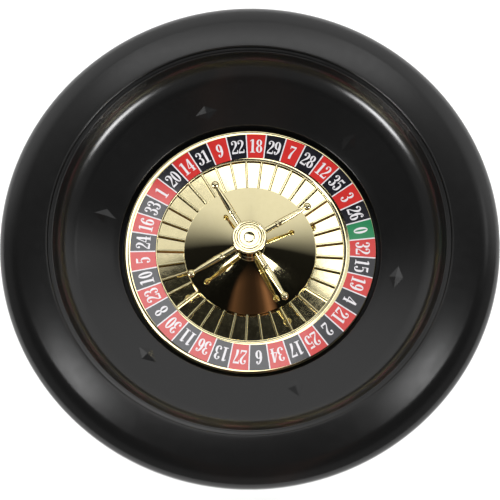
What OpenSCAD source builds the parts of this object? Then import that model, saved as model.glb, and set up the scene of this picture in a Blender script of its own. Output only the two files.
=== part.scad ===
// Tabletop roulette wheel: a black moulded bowl with a ball track, and a gilded rotor that
// turns on a ball bearing. Millimetres, +Z up, origin at the centre of the resting plane.

/* [Bowl] */
// Outside diameter over the brim
bowl_d = 305; // [300:1:312]
// Height of the brim's outer edge above the table
lip_z = 44; // [42:0.5:46]
// How far the brim rises from its outer edge to its inner edge
brim_rise = 11.5; // [10:0.5:13]
// Diameter of the brim's inner edge
brim_inner_d = 244.6; // [243:0.2:246]
// Radius of the hollow curve below the brim
track_curve_r = 20.5; // [19:0.5:22]
// Fall of the straight slope towards the rotor, in degrees
slope_deg = 21.5; // [20.5:0.5:22.5]
// Diameter of the round hole that the rotor sits in
hole_d = 163; // [162:0.5:165]
// Wall thickness of the black mouldings
wall_t = 2.4; // [2:0.1:2.6]

/* [Deflectors] */
// Number of diamond-shaped deflectors on the slope
deflector_n = 6; // [4:1:8]
// Length of a deflector
deflector_len = 14.4; // [12:0.2:18]
// Width of a deflector
deflector_w = 9.2; // [7:0.2:10]
// Height of a deflector above the slope
deflector_h = 1.1; // [0.8:0.1:2]
// Turn of the first deflector about the axis
deflector_turn = 47.4; // [0:0.2:59]

/* [Rotor] */
// Outside diameter of the rotor
rotor_d = 158.4; // [157:0.2:159]
// Height of the rotor's deck, which carries the number ring
deck_z = 21.7; // [21:0.1:22]
// Number of pockets
pocket_n = 37; // [36:1:38]
// Outside diameter of the pocket circle
pocket_od = 116.6; // [115:0.2:117]
// Inside diameter of the pocket circle, where the cone starts
pocket_id = 82.6; // [81:0.2:84]
// Height of the pocket floors at their outer edge
pocket_z = 18.6; // [18.2:0.1:18.8]
// How far the pocket floors fall towards the cone
pocket_fall = 1.6; // [0.8:0.1:1.8]
// Width of a fret at its foot
fret_w = 1.5; // [1.2:0.1:1.8]
// Height of a fret above the pocket floors
fret_h = 2.4; // [2:0.1:2.5]
// Rise of the cone, in degrees
cone_deg = 14; // [12:0.5:15]

/* [Number ring] */
// Outside diameter of the printed ring
label_od = 153.2; // [152:0.2:153.4]
// Inside diameter of the printed ring
label_id = 121.2; // [121:0.2:124]
// Thickness of the printed ring
label_t = 0.25; // [0.15:0.05:0.4]
// How far the ring is stuck off centre, along X
label_off_x = 1.7; // [0:0.1:1.8]
// How far the ring is stuck off centre, along Y
label_off_y = -0.4; // [-0.5:0.1:0]

/* [Turret] */
// Radius of the turret's flared foot
foot_r = 9.4; // [9:0.1:10]
// Radius of the hub that holds the arms
hub_r = 9.6; // [9:0.1:10]
// Height of the arms' axis
arm_z = 42.5; // [41.5:0.5:43]
// Radius of the cap
cap_r = 10.8; // [10.4:0.1:11.4]
// Height of the cap's top edge
cap_z = 49.6; // [49:0.1:50.4]
// Number of arms
arm_n = 4; // [4:1:4]
// Distance from the axis to the middle of an arm's ball
arm_reach = 41.3; // [38:0.1:43]
// Turn of the first arm about the axis
arm_turn = 30.9; // [0:0.1:89]
// Radius of the ball on the end of an arm
tip_r = 2.4; // [2.1:0.1:2.8]

/* [Bearing] */
// Number of balls in the bearing
bearing_ball_n = 7; // [6:1:8]

/* [Base] */
// Height of the rubber feet
feet_h = 4; // [4:0.5:4]
// Number of rubber feet
feet_n = 4; // [3:1:6]

/* [Hidden] */

$fn = 96;

black_plastic = "#17171a";
matte_black = "#232326";
gold = "#e6d79c";
steel = "#b9bcc2";
dark_rubber = "#101011";
paper_red = "#c8282e";
nylon = "#d9d4c4";

eps = 0.01;
fit = 0.05;

// Base
plate_t = 2.4;
plate_z = feet_h;
plate_top = plate_z + plate_t;
plate_r = 111.6;
foot_pad_r = 8;
foot_pad_at = 98;
foot_seat = 0.6;
boss_base_r = 13;
boss_base_z = plate_top + 3.6;
nut_recess_r = 9;
nut_recess_z = boss_base_z - 2.6;

// Bowl
bowl_r = bowl_d / 2;
lip_h = 2;
brim_edge_r = brim_inner_d / 2;
brim_top_z = lip_z + brim_rise;
brim_round_w = bowl_r - 136.5;
brim_round_h = brim_rise - 1.3;
brim_round_end = 81;
brim_edge_round = 0.9;
ledge_r = brim_edge_r - 0.3;
ledge_z = brim_top_z - 1.5;
groove_out_r = brim_edge_r - 1.7;
groove_in_r = brim_edge_r - 2.4;
groove_h = 0.9;
track_r = brim_edge_r - 3.1;
track_top_z = ledge_z - 0.2;
curve_cr = track_r - track_curve_r;
curve_cz = track_top_z - 0.8;
curve_end = slope_deg - 90;
slope_r = curve_cr + track_curve_r * cos(curve_end);
slope_z = curve_cz + track_curve_r * sin(curve_end);
hole_r = hole_d / 2;
hole_round = 0.9;
hole_lip_z = slope_z - (slope_r - hole_r) * tan(slope_deg);
flange_in_r = 120;
flange_r = 132.6;
flange_z = 44.6;
flange_t = 2.2;
rim_boss_at = 128.6;
rim_boss_r = 3.4;
base_boss_at = 96;
base_boss_r = 4.2;
bowl_screw_n = 6;
base_screw_turn = 30;
screw_r = 1.5;
pilot_r = screw_r + fit;
screw_hole_r = 1.8;
screw_head_r = 3;
skirt_top_r = 142;
skirt_foot_r = 114;

// Rotor
rotor_r = rotor_d / 2;
deck_t = 2;
deck_round = 0.5;
web_z = 14.2;
web_t = 2;
web_top = web_z + web_t;
pocket_r_out = pocket_od / 2;
pocket_r_in = pocket_id / 2;
rotor_skirt_z = 13.5;
deck_groove_w = 0.35;
deck_groove_d = 0.3;
deck_groove_out = rotor_r - 1.9;
deck_groove_in = pocket_r_out + 0.9;
fret_top_w = fret_w - 0.3;
fret_step = 360 / pocket_n;
cone_t = 1.8;
cone_edge_z = 19.5;
cone_top_r = foot_r;
cone_top_z = cone_edge_z + (pocket_r_in - cone_top_r) * tan(cone_deg);
cone_boss_at = 30;
cone_boss_r = 3;
cone_boss_z = cone_edge_z + (pocket_r_in - cone_boss_at) * tan(cone_deg) - cone_t / 2;
cone_screw_n = 4;

// Bearing
race_bore_r = 4;
race_inner_r = 6.2;
race_outer_in_r = 8.8;
race_outer_r = 11;
bearing_w = 7;
bearing_pitch_r = 7.5;
bearing_ball_r = 1.98;
race_groove_r = 2.03;
bearing_z = boss_base_z + 1.5;
bearing_mid_z = bearing_z + bearing_w / 2;
cage_t = 1.1;
cage_h = 3.6;
cage_pocket_r = 2.03;
shield_t = 0.3;

// Hub around the bearing
bearing_hub_r = 13.6;
bearing_hub_z = boss_base_z + 0.7;
bearing_lip_r = 9.6;
bearing_hub_top = bearing_z + bearing_w + 1;

// Spindle
journal_r = race_bore_r - 0.02;
shoulder_r = 5.6;
thread_r = 2.98;
spindle_top = bearing_z + bearing_w + 2.2;
ring_groove_z = bearing_z + bearing_w + 0.2;
ring_t = 0.8;
ring_groove_r = 3.4;
ring_out_r = 5.6;
nut_flats = 10;
nut_h = 2.4;
washer_r = 6;
washer_t = 0.8;

// Turret
foot_top_z = 35.5;
stem_r = 6.2;
hub_top_z = 46;
cap_bottom_z = hub_top_z;
button_r = 3.4;
turret_thread_r = 1.9;
turret_bore_r = 2.1;
turret_head_r = 3.6;
turret_head_h = 2;
arm_root = 7.2;
arm_stub_r = 1.2;
arm_bore_r = 1.25;
arm_plain_r = 1.7;
arm_bead_r = 2.05;
arm_bead_at = 19.5;
arm_neck_r = 1.2;

// Points along an ellipse's arc, for outlines
function arc(cx, cz, rx, rz, from, to, steps = 16) =
    [for (i = [0:steps]) let (a = from + (to - from) * i / steps) [cx + rx * cos(a), cz + rz * sin(a)]];

// Copies the children round the axis
module ring_of(n, at, turn = 0) {
    for (i = [0:n - 1])
        rotate([0, 0, turn + i * 360 / n])
            translate([at, 0, 0])
                children();
}

module pan_screw(shank_r, shank_len, head_r, head_h) {
    translate([0, 0, -eps])
        cylinder(r = shank_r, h = shank_len + eps);
    translate([0, 0, -head_h])
        difference() {
            cylinder(r = head_r, h = head_h);
            translate([0, 0, -eps])
                cylinder(r = head_r * 0.45, h = head_h * 0.5, $fn = 6);
        }
}

// ---------------------------------------------------------------- bowl

module brim_section() {
    outer = arc(bowl_r - brim_round_w, lip_z, brim_round_w, brim_round_h, 0, brim_round_end, 20);
    edge = arc(
        brim_edge_r + brim_edge_round, brim_top_z - brim_edge_round, brim_edge_round, brim_edge_round, 90, 180, 6
    );
    inner = arc(bowl_r - brim_round_w, lip_z, brim_round_w - wall_t, brim_round_h - wall_t, brim_round_end, 0, 20);
    polygon(concat(
        [[bowl_r, lip_z - lip_h]],
        outer,
        edge,
        [[brim_edge_r, ledge_z - wall_t], [brim_edge_r + wall_t, brim_top_z - wall_t - 0.4]],
        inner,
        [[bowl_r - wall_t, lip_z - lip_h]]
    ));
}

// Height of the brim's underside at a radius in its rounded part
function brim_under(r) =
    lip_z + (brim_round_h - wall_t) * sqrt(1 - pow((r - bowl_r + brim_round_w) / (brim_round_w - wall_t), 2));

module skirt_section() {
    polygon([
        [skirt_top_r, brim_under(skirt_top_r) - fit],
        [skirt_foot_r + 1, plate_z + 5],
        [skirt_foot_r, plate_z + 2],
        [skirt_foot_r, plate_z + 0.4],
        [plate_r + 0.2, plate_z + 0.4],
        [plate_r + 0.2, plate_top],
        [plate_r - 4, plate_top],
        [plate_r - 4, plate_top + wall_t],
        [skirt_foot_r - wall_t, plate_top + wall_t],
        [skirt_top_r - wall_t - 0.6, brim_under(skirt_top_r - wall_t - 0.6) - fit]
    ]);
}

module brim_ring() {
    color(black_plastic) {
        rotate_extrude()
            brim_section();
        ring_of(bowl_screw_n, rim_boss_at)
            translate([0, 0, flange_z + flange_t])
                difference() {
                    cylinder(r = rim_boss_r, h = brim_top_z - wall_t - flange_z - flange_t, $fn = 48);
                    translate([0, 0, -eps])
                        cylinder(r = pilot_r, h = 5, $fn = 32);
                }
    }
}

module body_shell() {
    color(black_plastic)
        rotate_extrude()
            skirt_section();
}

module track_section() {
    top = arc(curve_cr, curve_cz, track_curve_r, track_curve_r, 0, curve_end, 18);
    bottom = arc(curve_cr, curve_cz, track_curve_r + wall_t, track_curve_r + wall_t, curve_end, -4, 18);
    lip = arc(
        hole_r + hole_round, hole_lip_z - hole_round * 0.6, hole_round, hole_round, 90 + slope_deg, 180, 6
    );
    polygon(concat(
        [[ledge_r, ledge_z], [groove_out_r, ledge_z], [groove_out_r, ledge_z - groove_h]],
        [[groove_in_r, ledge_z - groove_h], [groove_in_r, track_top_z], [track_r + 0.1, track_top_z]],
        top,
        lip,
        [[hole_r, plate_top], [hole_r + wall_t, plate_top], [hole_r + wall_t, hole_lip_z - 1.6]],
        bottom
    ));
    translate([flange_in_r, flange_z])
        square([flange_r - flange_in_r, flange_t]);
}

// Height of the slope's upper surface at a radius
function slope_at(r) = hole_lip_z + (r - hole_r) * tan(slope_deg);

module track_bowl() {
    color(black_plastic)
        difference() {
            union() {
                rotate_extrude()
                    track_section();
                ring_of(bowl_screw_n, base_boss_at, base_screw_turn)
                    translate([0, 0, plate_top])
                        cylinder(
                            r = base_boss_r, h = slope_at(base_boss_at - base_boss_r) - plate_top - 1.2, $fn = 48
                        );
            }
            ring_of(bowl_screw_n, base_boss_at, base_screw_turn)
                translate([0, 0, plate_top - eps])
                    cylinder(r = pilot_r, h = 12, $fn = 32);
            ring_of(bowl_screw_n, rim_boss_at)
                translate([0, 0, flange_z - eps])
                    cylinder(r = screw_hole_r, h = flange_t + 2 * eps, $fn = 32);
        }
}

// A low four-sided pyramid; the long way lies along X
module diamond(len, w, h) {
    polyhedron(
        points = [[len / 2, 0, 0], [0, w / 2, 0], [-len / 2, 0, 0], [0, -w / 2, 0], [0, 0, h]],
        faces = [[0, 1, 2, 3], [1, 0, 4], [2, 1, 4], [3, 2, 4], [0, 3, 4]]
    );
}

// Every second deflector lies across the slope, and stands on its two ends there
module ball_deflectors() {
    at = (slope_r + hole_r) / 2 - 1.5;
    color(black_plastic)
        for (i = [0:deflector_n - 1])
            let (
                across = i % 2 == 0 ? deflector_w : deflector_len,
                lift = pow(across, 2) / 8 / at * tan(slope_deg) + fit
            )
                rotate([0, 0, deflector_turn + i * 360 / deflector_n])
                    translate([at, 0, slope_at(at) + lift])
                        rotate([0, -slope_deg, 0])
                            rotate([0, 0, i % 2 == 0 ? 0 : 90])
                                diamond(deflector_len, deflector_w, deflector_h);
}

module base_plate() {
    color(matte_black)
        difference() {
            union() {
                translate([0, 0, plate_z])
                    cylinder(r = plate_r, h = plate_t, $fn = 128);
                translate([0, 0, plate_top - eps])
                    cylinder(r = boss_base_r, h = boss_base_z - plate_top + eps);
            }
            translate([0, 0, plate_z - eps])
                cylinder(r = nut_recess_r, h = nut_recess_z - plate_z + eps);
            cylinder(r = thread_r + 0.07, h = boss_base_z + eps);
            ring_of(feet_n, foot_pad_at, 45)
                translate([0, 0, plate_z - eps])
                    cylinder(r = foot_pad_r, h = foot_seat + eps, $fn = 48);
            ring_of(bowl_screw_n, base_boss_at, base_screw_turn) {
                cylinder(r = screw_hole_r, h = plate_top + eps, $fn = 32);
                cylinder(r = screw_head_r + 0.2, h = plate_z + 1.2, $fn = 32);
            }
        }
}

module base_screws() {
    color(steel)
        ring_of(bowl_screw_n, base_boss_at, base_screw_turn)
            translate([0, 0, plate_z + 1.2])
                pan_screw(screw_r, 12, screw_head_r, 1.1);
}

module rim_screws() {
    color(steel)
        ring_of(bowl_screw_n, rim_boss_at)
            translate([0, 0, flange_z])
                pan_screw(screw_r, 6.5, screw_head_r, 1.4);
}

module rubber_feet() {
    color(dark_rubber)
        ring_of(feet_n, foot_pad_at, 45)
            rotate_extrude($fn = 48)
                polygon([
                    [0, 0], [foot_pad_r - 1.4, 0], [foot_pad_r - 0.6, 0.8], [foot_pad_r - 0.2, plate_z],
                    [foot_pad_r - 0.2, plate_z + foot_seat], [0, plate_z + foot_seat]
                ]);
}

// ---------------------------------------------------------------- spindle and bearing

module spindle() {
    color(steel)
        rotate_extrude()
            polygon([
                [0, plate_z - 0.2], [thread_r - 0.4, plate_z - 0.2], [thread_r, plate_z + 0.2],
                [thread_r, boss_base_z], [shoulder_r, boss_base_z], [shoulder_r, bearing_z],
                [journal_r, bearing_z], [journal_r, ring_groove_z], [ring_groove_r, ring_groove_z],
                [ring_groove_r, ring_groove_z + ring_t + 0.1], [journal_r, ring_groove_z + ring_t + 0.1],
                [journal_r, spindle_top - 0.5], [journal_r - 0.5, spindle_top], [0, spindle_top]
            ]);
}

module spindle_nut() {
    color(steel)
        translate([0, 0, nut_recess_z - washer_t - nut_h])
            difference() {
                cylinder(r = nut_flats / 2 / cos(30), h = nut_h, $fn = 6);
                translate([0, 0, -eps])
                    cylinder(r = thread_r + fit, h = nut_h + 2 * eps);
            }
}

module spindle_washer() {
    color(steel)
        translate([0, 0, nut_recess_z - washer_t])
            difference() {
                cylinder(r = washer_r, h = washer_t);
                translate([0, 0, -eps])
                    cylinder(r = thread_r + 0.2, h = washer_t + 2 * eps);
            }
}

module retaining_ring() {
    gap_w = 3;
    color(steel)
        translate([0, 0, ring_groove_z + fit])
            difference() {
                cylinder(r = ring_out_r, h = ring_t);
                translate([0, 0, -eps])
                    cylinder(r = ring_groove_r + fit, h = ring_t + 2 * eps);
                translate([0, -gap_w / 2, -eps])
                    cube([ring_out_r + 1, gap_w, ring_t + 2 * eps]);
            }
}

module race(r_in, r_out) {
    rotate_extrude()
        difference() {
            translate([r_in, bearing_z])
                square([r_out - r_in, bearing_w]);
            translate([bearing_pitch_r, bearing_mid_z])
                circle(r = race_groove_r);
        }
}

module bearing_inner_race() {
    color(steel)
        race(race_bore_r, race_inner_r);
}

module bearing_outer_race() {
    color(steel)
        race(race_outer_in_r, race_outer_r - 0.01);
}

module bearing_cage() {
    color(nylon)
        difference() {
            translate([0, 0, bearing_mid_z - cage_h / 2])
                difference() {
                    cylinder(r = bearing_pitch_r + cage_t / 2, h = cage_h);
                    translate([0, 0, -eps])
                        cylinder(r = bearing_pitch_r - cage_t / 2, h = cage_h + 2 * eps);
                }
            ring_of(bearing_ball_n, bearing_pitch_r)
                translate([0, 0, bearing_mid_z])
                    sphere(r = cage_pocket_r, $fn = 48);
        }
}

module bearing_balls() {
    color(steel)
        ring_of(bearing_ball_n, bearing_pitch_r)
            translate([0, 0, bearing_mid_z])
                sphere(r = bearing_ball_r, $fn = 48);
}

module bearing_shields() {
    color(steel)
        for (z = [bearing_z, bearing_z + bearing_w - shield_t])
            translate([0, 0, z])
                difference() {
                    cylinder(r = race_outer_in_r - 0.01, h = shield_t);
                    translate([0, 0, -eps])
                        cylinder(r = race_inner_r + 0.3, h = shield_t + 2 * eps);
                }
}

// ---------------------------------------------------------------- rotor

module rotor_plate_section() {
    difference() {
        polygon(concat(
            [[race_outer_r, bearing_z], [bearing_lip_r, bearing_z], [bearing_lip_r, bearing_hub_z]],
            [[bearing_hub_r, bearing_hub_z], [bearing_hub_r, web_z], [pocket_r_out + web_t, web_z]],
            [[pocket_r_out + web_t, deck_z - deck_t], [rotor_r - web_t, deck_z - deck_t]],
            [[rotor_r - web_t, rotor_skirt_z], [rotor_r - 0.4, rotor_skirt_z], [rotor_r, rotor_skirt_z + 0.4]],
            arc(rotor_r - deck_round, deck_z - deck_round, deck_round, deck_round, 0, 90, 6),
            [[pocket_r_out, deck_z], [pocket_r_out, web_top], [bearing_hub_r, web_top]],
            [[bearing_hub_r, bearing_hub_top], [race_outer_r, bearing_hub_top]]
        ));
        for (r = [deck_groove_out, deck_groove_in])
            translate([r - deck_groove_w / 2, deck_z - deck_groove_d])
                square([deck_groove_w, deck_groove_d + eps]);
    }
}

module rotor_plate() {
    color(gold)
        difference() {
            rotate_extrude($fn = 128)
                rotor_plate_section();
            ring_of(cone_screw_n, cone_boss_at, 45)
                translate([0, 0, web_z - eps])
                    cylinder(r = screw_hole_r, h = web_t + 2 * eps, $fn = 32);
        }
}

// Height of the pocket floors at a radius
function floor_at(r) = pocket_z - (pocket_r_out - r) / (pocket_r_out - pocket_r_in) * pocket_fall;

module pocket_ring() {
    r_in = pocket_r_in + fit;
    r_out = pocket_r_out - fit;
    color(gold)
        rotate_extrude($fn = 128)
            polygon([[r_in, web_top], [r_out, web_top], [r_out, floor_at(r_out)], [r_in, floor_at(r_in)]]);
}

// One bar between two pockets, along X: it follows the floors' fall, and its sides lean
module fret() {
    x_in = pocket_r_in + 0.3;
    x_out = pocket_r_out - 0.15;
    fall = atan(pocket_fall / (pocket_r_out - pocket_r_in));
    translate([x_in, 0, floor_at(x_in) + eps])
        rotate([0, -fall, 0])
            rotate([90, 0, 90])
                linear_extrude(height = (x_out - x_in) / cos(fall))
                    polygon([
                        [-fret_w / 2, 0], [fret_w / 2, 0], [fret_top_w / 2, fret_h], [-fret_top_w / 2, fret_h]
                    ]);
}

module pocket_frets() {
    color(gold)
        for (i = [0:pocket_n - 1])
            rotate([0, 0, (i + 0.5) * fret_step])
                fret();
}

module number_ring() {
    color(paper_red)
        translate([label_off_x, label_off_y, deck_z])
            difference() {
                cylinder(r = label_od / 2, h = label_t, $fn = 128);
                translate([0, 0, -eps])
                    cylinder(r = label_id / 2, h = label_t + 2 * eps, $fn = 128);
            }
}

module cone_cover() {
    seat_r = 6;
    seat_h = 3.2;
    color(gold)
        difference() {
            union() {
                rotate_extrude($fn = 128)
                    polygon([
                        [0, cone_top_z], [cone_top_r, cone_top_z], [pocket_r_in, cone_edge_z],
                        [pocket_r_in, web_top], [pocket_r_in - cone_t, web_top],
                        [pocket_r_in - cone_t, cone_edge_z - cone_t * 0.6],
                        [cone_top_r, cone_top_z - cone_t], [seat_r, cone_top_z - cone_t],
                        [seat_r, cone_top_z - seat_h], [0, cone_top_z - seat_h]
                    ]);
                ring_of(cone_screw_n, cone_boss_at, 45)
                    translate([0, 0, web_top])
                        cylinder(r = cone_boss_r, h = cone_boss_z - web_top, $fn = 48);
            }
            translate([0, 0, cone_top_z - seat_h - eps])
                cylinder(r = turret_bore_r, h = seat_h + 2 * eps, $fn = 48);
            ring_of(cone_screw_n, cone_boss_at, 45)
                translate([0, 0, web_top - eps])
                    cylinder(r = pilot_r, h = 3, $fn = 32);
        }
}

module rotor_screws() {
    color(steel)
        ring_of(cone_screw_n, cone_boss_at, 45)
            translate([0, 0, web_z])
                pan_screw(screw_r, 4.8, screw_head_r, 1.4);
}

// ---------------------------------------------------------------- turret

module turret_foot() {
    scotia_r = 3;
    color(gold)
        rotate_extrude()
            polygon(concat(
                [[turret_bore_r, cone_top_z], [foot_r, cone_top_z], [foot_r, cone_top_z + 0.9]],
                [[foot_r - 0.6, cone_top_z + 1.3]],
                arc(
                    stem_r + scotia_r, cone_top_z + 1.3 + scotia_r, scotia_r, scotia_r, 265, 180, 10
                ),
                [[stem_r, foot_top_z - 1.4], [stem_r + 0.9, foot_top_z - 1], [stem_r + 0.9, foot_top_z]],
                [[turret_bore_r, foot_top_z]]
            ));
}

module turret_hub() {
    waist_z = foot_top_z + 1.8;
    color(gold)
        difference() {
            rotate_extrude()
                polygon(concat(
                    [[0, foot_top_z], [stem_r + 1.4, foot_top_z]],
                    arc(hub_r - 2, waist_z + 0.4, 2, 2.2, -80, 0, 8),
                    [[hub_r, hub_top_z - 1.6], [hub_r - 1.2, hub_top_z - 0.8], [hub_r - 1.2, hub_top_z]],
                    [[0, hub_top_z]]
                ));
            translate([0, 0, foot_top_z - eps])
                cylinder(r = turret_thread_r + fit, h = 5, $fn = 48);
            for (i = [0:arm_n - 1])
                rotate([0, 0, arm_turn + i * 90])
                    translate([arm_root - 0.2, 0, arm_z])
                        rotate([0, 90, 0])
                            cylinder(r = arm_bore_r, h = hub_r, $fn = 32);
        }
}

module turret_cap() {
    color(gold)
        rotate_extrude()
            polygon(concat(
                [[0, cap_bottom_z], [hub_r - 1.2, cap_bottom_z], [cap_r, cap_bottom_z + 0.8]],
                [[cap_r, cap_z - 1]],
                arc(cap_r - 1, cap_z - 1, 1, 1, 0, 90, 6),
                [[cap_r - 1.6, cap_z], [cap_r - 2.2, cap_z - 0.9], [cap_r - 3.2, cap_z - 0.7]],
                [[cap_r - 3.8, cap_z - 0.2], [cap_r - 4.6, cap_z - 0.2], [cap_r - 5.4, cap_z - 1.1]],
                [[button_r + 0.1, cap_z - 1.3], [button_r + 0.1, cap_z - 2], [0, cap_z - 2]]
            ));
}

module turret_button() {
    color(gold)
        rotate_extrude()
            polygon(concat(
                [[0, cap_z - 2], [button_r, cap_z - 2], [button_r, cap_z - 0.3]],
                arc(0, cap_z - 0.3, button_r - 0.3, 0.6, 0, 90, 8)
            ));
}

module turret_screw() {
    top = foot_top_z + 4.6;
    bottom = cone_top_z - 3.2;
    color(steel)
        translate([0, 0, bottom])
            pan_screw(turret_thread_r, top - bottom, turret_head_r, turret_head_h);
}

// A turned arm with a bead a third of the way along and a ball on its end
module arm(turn) {
    ball_cut = acos(arm_neck_r / tip_r);
    color(gold)
        rotate([0, 0, turn])
            translate([0, 0, arm_z])
                rotate([0, 90, 0])
                    rotate_extrude($fn = 48)
                        polygon(concat(
                            [[0, arm_root], [arm_stub_r, arm_root], [arm_stub_r, hub_r]],
                            [[arm_plain_r, hub_r], [arm_plain_r, arm_bead_at - 0.8]],
                            [[arm_bead_r, arm_bead_at - 0.3], [arm_bead_r, arm_bead_at + 0.3]],
                            [[arm_plain_r, arm_bead_at + 0.7], [arm_bead_r - 0.1, arm_bead_at + 2.2]],
                            arc(0, arm_reach, tip_r, tip_r, -ball_cut, 90, 18)
                        ));
}

module arm_1() { arm(arm_turn); }
module arm_2() { arm(arm_turn + 90); }
module arm_3() { arm(arm_turn + 180); }
module arm_4() { arm(arm_turn + 270); }

brim_ring();
body_shell();
track_bowl();
ball_deflectors();
base_plate();
base_screws();
rim_screws();
rubber_feet();
spindle();
spindle_nut();
spindle_washer();
retaining_ring();
bearing_inner_race();
bearing_outer_race();
bearing_cage();
bearing_balls();
bearing_shields();
rotor_plate();
pocket_ring();
pocket_frets();
number_ring();
cone_cover();
rotor_screws();
turret_foot();
turret_hub();
turret_cap();
turret_button();
turret_screw();
arm_1();
arm_2();
arm_3();
arm_4();
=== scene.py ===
"""Looks for the tabletop roulette wheel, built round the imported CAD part.

Metres, +Z up. Outlines are in millimetres, and Piece.make turns them into metres.
"""

import math

import bpy
from mathutils import Matrix, Vector


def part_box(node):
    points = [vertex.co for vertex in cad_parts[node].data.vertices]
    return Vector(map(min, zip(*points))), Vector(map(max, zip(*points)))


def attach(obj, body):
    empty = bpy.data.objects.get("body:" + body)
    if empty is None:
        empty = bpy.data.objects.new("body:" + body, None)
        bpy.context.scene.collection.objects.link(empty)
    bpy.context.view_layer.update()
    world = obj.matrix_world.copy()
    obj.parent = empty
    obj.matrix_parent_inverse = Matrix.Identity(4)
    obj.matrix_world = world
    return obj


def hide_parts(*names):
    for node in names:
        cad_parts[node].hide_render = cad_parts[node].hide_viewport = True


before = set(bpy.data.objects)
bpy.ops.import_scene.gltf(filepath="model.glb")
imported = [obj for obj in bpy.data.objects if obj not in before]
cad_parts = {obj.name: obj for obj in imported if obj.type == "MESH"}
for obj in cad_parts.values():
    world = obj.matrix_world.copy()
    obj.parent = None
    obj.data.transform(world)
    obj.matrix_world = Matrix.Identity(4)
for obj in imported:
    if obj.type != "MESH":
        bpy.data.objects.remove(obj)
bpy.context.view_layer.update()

MM = 0.001
ROUND = 296
SMALL = 96
CREASE = math.radians(38)

# ---------------------------------------------------------------- sizes, from the CAD's boxes


def lo(node):
    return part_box(node)[0] / MM


def hi(node):
    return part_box(node)[1] / MM


def top(node):
    return hi(node).z


def bottom(node):
    return lo(node).z


def radius(node):
    return (hi(node).x - lo(node).x) / 2


BOWL_R = radius("brim_ring")
BRIM_TOP = top("brim_ring")
LIP_H = 2
LIP_Z = bottom("brim_ring") + LIP_H
BRIM_W = 30.2
BRIM_R = BOWL_R - BRIM_W
LEDGE_Z = top("track_bowl")
PLATE_R = radius("base_plate")
ROTOR_R = radius("rotor_plate")
DECK_Z = top("rotor_plate")
POCKET_OUT = radius("pocket_ring") + 0.05
POCKET_IN = radius("cone_cover")
FLOOR_OUT = top("pocket_ring")
FLOOR_FALL = 1.6
FLOOR_IN = FLOOR_OUT - FLOOR_FALL
WEB_TOP = bottom("pocket_ring")
FRET_H = 2.4
CONE_TOP = top("cone_cover")
FOOT_R = radius("turret_foot")
FOOT_TOP = top("turret_foot")
HUB_R = radius("turret_hub")
HUB_TOP = top("turret_hub")
CAP_R = radius("turret_cap")
CAP_TOP = top("turret_cap")
BUTTON_R = radius("turret_button")
BUTTON_TOP = top("turret_button")
LABEL_LO = lo("number_ring")
LABEL_HI = hi("number_ring")
WALL = 2.4
POCKETS = 37
STEP = 2 * math.pi / POCKETS

# ---------------------------------------------------------------- mesh building


def arc(cx, cz, rx, rz, start, end, steps):
    """Points along an ellipse's arc, angles in degrees."""
    out = []
    for i in range(steps + 1):
        a = math.radians(start + (end - start) * i / steps)
        out.append((cx + rx * math.cos(a), cz + rz * math.sin(a)))
    return out


def tidied(points):
    """The same closed outline anticlockwise, without repeated points."""
    points = [p for p, q in zip(points, points[-1:] + points[:-1]) if math.dist(p, q) > 1e-6]
    area = sum(a[0] * b[1] - b[0] * a[1] for a, b in zip(points, points[1:] + points[:1]))
    return points if area > 0 else points[::-1]


def corner_normals(points):
    """For each side of a closed outline, the normals at its start and its end."""
    n = len(points)
    sides = []
    for i in range(n):
        (ax, az), (bx, bz) = points[i], points[(i + 1) % n]
        length = math.hypot(bx - ax, bz - az)
        sides.append((Vector(((bz - az) / length, (ax - bx) / length)), length))
    out = []
    for i in range(n):
        own, size = sides[i]
        pair = []
        for other, weight in (sides[i - 1], sides[(i + 1) % n]):
            if own.angle(other) < CREASE:
                pair.append((own * size + other * weight).normalized())
            else:
                pair.append(own)
        out.append(pair)
    return out


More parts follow.
